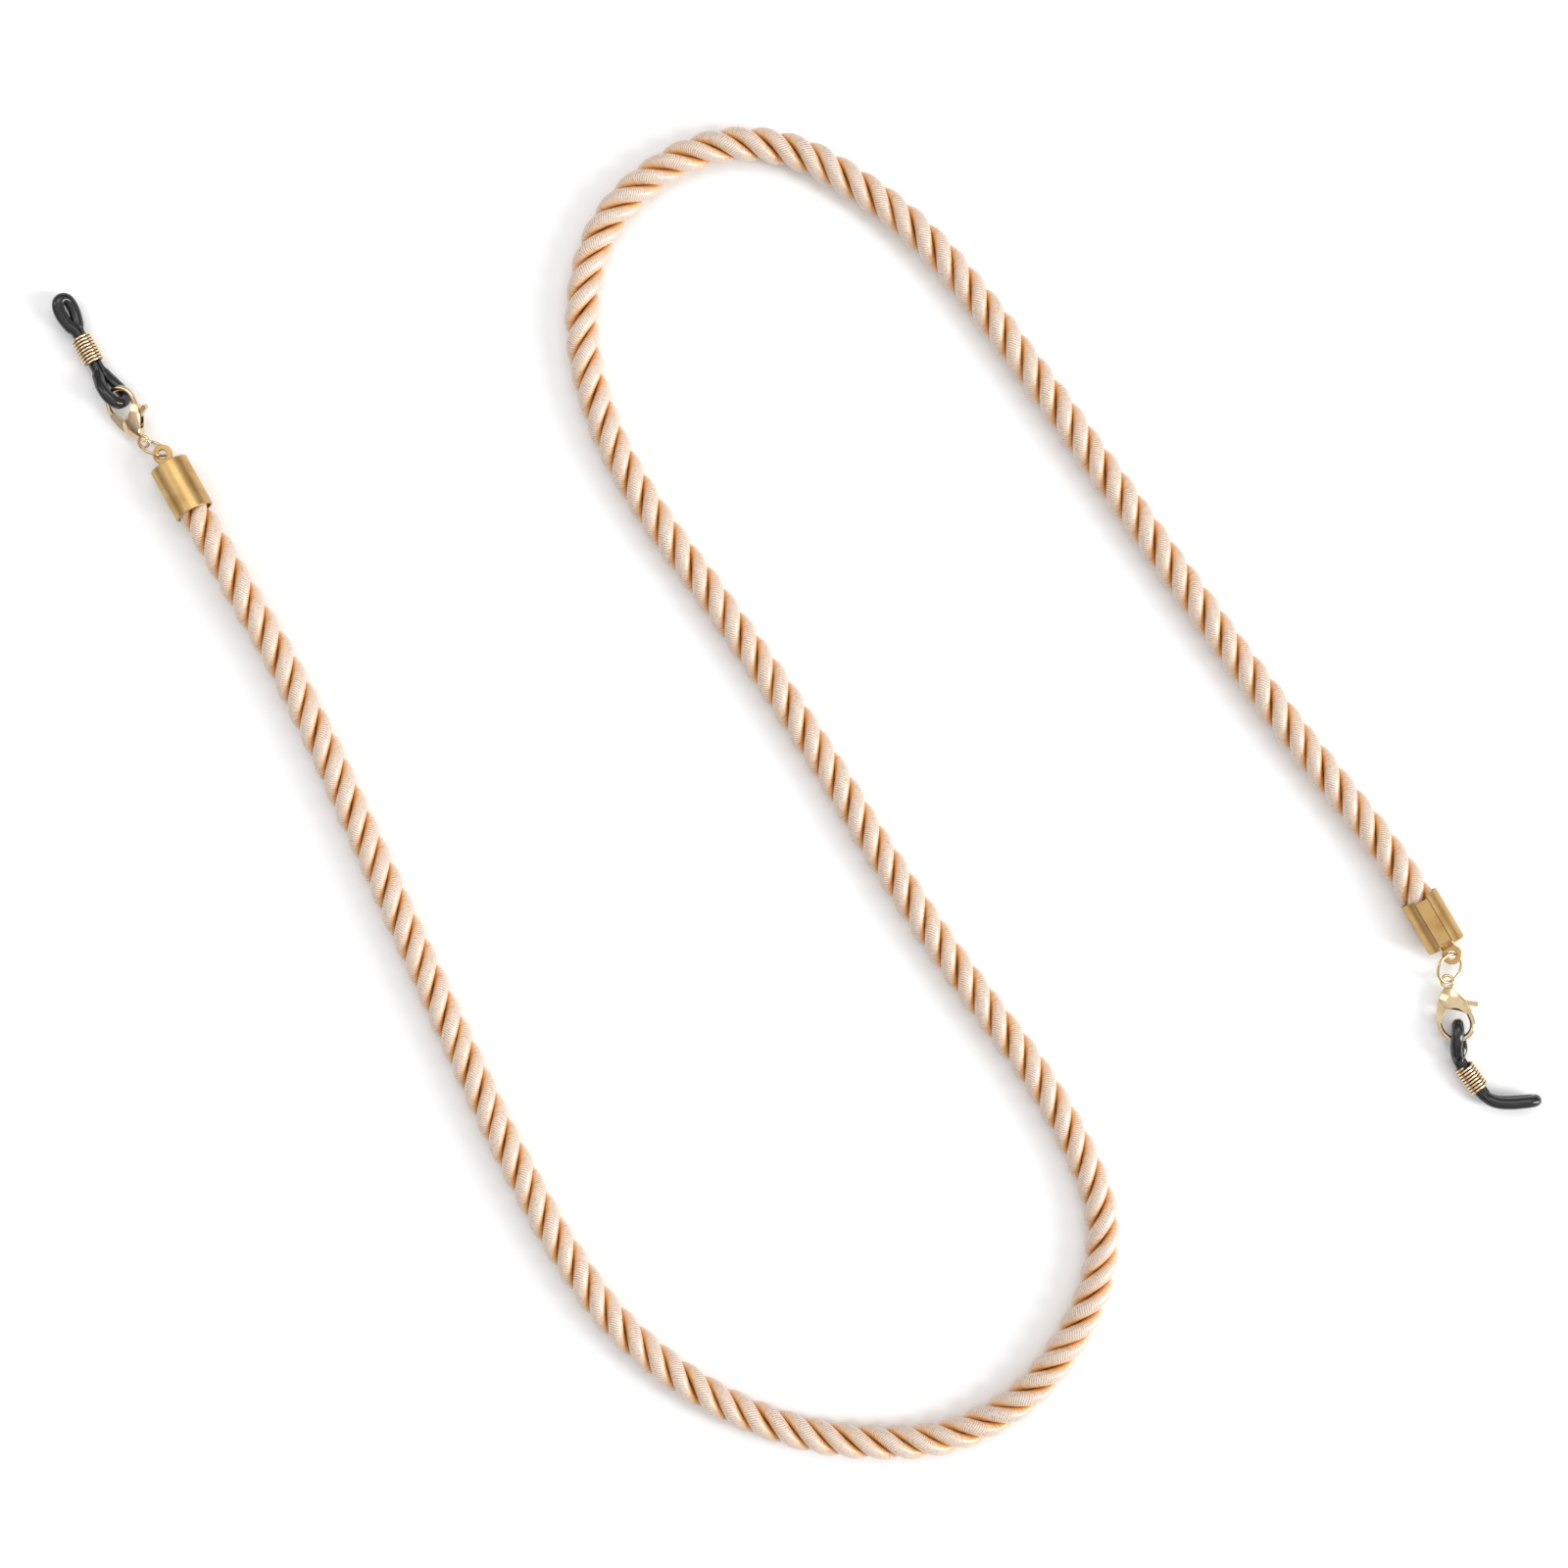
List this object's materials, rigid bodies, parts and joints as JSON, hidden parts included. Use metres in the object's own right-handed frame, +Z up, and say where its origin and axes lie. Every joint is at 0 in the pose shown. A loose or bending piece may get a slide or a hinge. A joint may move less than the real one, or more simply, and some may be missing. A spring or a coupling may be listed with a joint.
{
  "type": "eyeglasses chain strap",
  "caption": "Twisted neck cord for spectacles: each end has a brass-gold ferrule, a jump ring, a lobster clasp and a black rubber temple loop with a sliding wire coil.",
  "frame": {"origin": "on the surface the cord lies on, midway between the outermost points of the two ends' hardware", "axes": "+Z up from the surface; +X from the left end to the right end of the cord as it is laid out; +Y completes a right-handed frame"},
  "size_m": [0.271, 0.2423, 0.0078],
  "materials": {
    "cord": "gimped satin-look strands twisted together",
    "ferrule_metal": "satin brass-gold plate",
    "adhesive": "cured clear adhesive",
    "ring_metal": "polished pale gold plate",
    "clasp_metal": "polished champagne gold plate",
    "steel": "plain drawn steel",
    "rubber": "smooth black silicone rubber",
    "coil_metal": "polished pale gold wire"
  },
  "bodies": {
    "rope_and_ferrules": {"rope": "cord", "ferrule_shell_right": "ferrule_metal", "ferrule_strap_right": "ferrule_metal", "rope_glue_right": "adhesive", "ferrule_shell_left": "ferrule_metal", "ferrule_strap_left": "ferrule_metal", "rope_glue_left": "adhesive"},
    "ring_right": {"jump_ring_right": "ring_metal"},
    "clasp_right": {"clasp_body_right": "clasp_metal", "clasp_pin_right": "steel", "clasp_spring_right": "steel"},
    "lever_right": {"clasp_lever_right": "clasp_metal"},
    "rubber_right": {"rubber_loop_right": "rubber"},
    "slider_right": {"coil_slider_right": "coil_metal"},
    "ring_left": {"jump_ring_left": "ring_metal"},
    "clasp_left": {"clasp_body_left": "clasp_metal", "clasp_pin_left": "steel", "clasp_spring_left": "steel"},
    "lever_left": {"clasp_lever_left": "clasp_metal"},
    "rubber_left": {"rubber_loop_left": "rubber"},
    "slider_left": {"coil_slider_left": "coil_metal"}
  },
  "joints": [
    {"name": "ring_swing_right", "type": "hinge", "parent": "rope_and_ferrules", "child": "ring_right", "pos_m": [0.11898, -0.04621, 0.00357], "axis": [-0.142, -0.0324, 0.9893], "range_deg": [-20, 20]},
    {"name": "clasp_swing_right", "type": "hinge", "parent": "ring_right", "child": "clasp_right", "pos_m": [0.1184, -0.0511, 0.0024], "axis": [-0.1424, 0.0168, 0.9897], "range_deg": [-20, 20]},
    {"name": "lever_open_right", "type": "hinge", "parent": "clasp_right", "child": "lever_right", "pos_m": [0.11852, -0.05441, 0.00247], "axis": [-0.1424, 0.0168, 0.9897], "range_deg": [0, 18], "stiffness_Nm_per_rad": 0.004, "springref_deg": -28.65, "deforming": ["clasp_spring_right"]},
    {"name": "loop_swing_right", "type": "hinge", "parent": "clasp_right", "child": "rubber_right", "pos_m": [0.12033, -0.06163, 0.00286], "axis": [0, 0, -1], "range_deg": [-15, 15]},
    {"name": "coil_slide_right", "type": "slide", "parent": "rubber_right", "child": "slider_right", "axis": [0.5878, -0.809, 0.0087], "range_m": [-0.0011, 0.0009]},
    {"name": "ring_swing_left", "type": "hinge", "parent": "rope_and_ferrules", "child": "ring_left", "pos_m": [-0.11506, 0.04458, 0.00406], "axis": [0.0328, -0.0584, -0.9978], "range_deg": [-20, 20]},
    {"name": "clasp_swing_left", "type": "hinge", "parent": "ring_left", "child": "clasp_left", "pos_m": [-0.1188, 0.0471, 0.0025], "axis": [0, 0, 1], "range_deg": [-15, 15]},
    {"name": "lever_open_left", "type": "hinge", "parent": "clasp_left", "child": "lever_left", "pos_m": [-0.12086, 0.04969, 0.00247], "axis": [0.3976, 0.3047, -0.8655], "range_deg": [0, 18], "stiffness_Nm_per_rad": 0.004, "springref_deg": -28.65, "deforming": ["clasp_spring_left"]},
    {"name": "loop_swing_left", "type": "hinge", "parent": "clasp_left", "child": "rubber_left", "pos_m": [-0.12434, 0.05625, 0.00317], "axis": [0, 0, 1], "range_deg": [-5, 15]},
    {"name": "coil_slide_left", "type": "slide", "parent": "rubber_left", "child": "slider_left", "axis": [-0.4833, 0.8754, 0.0087], "range_m": [-0.0011, 0.0009]}
  ]
}
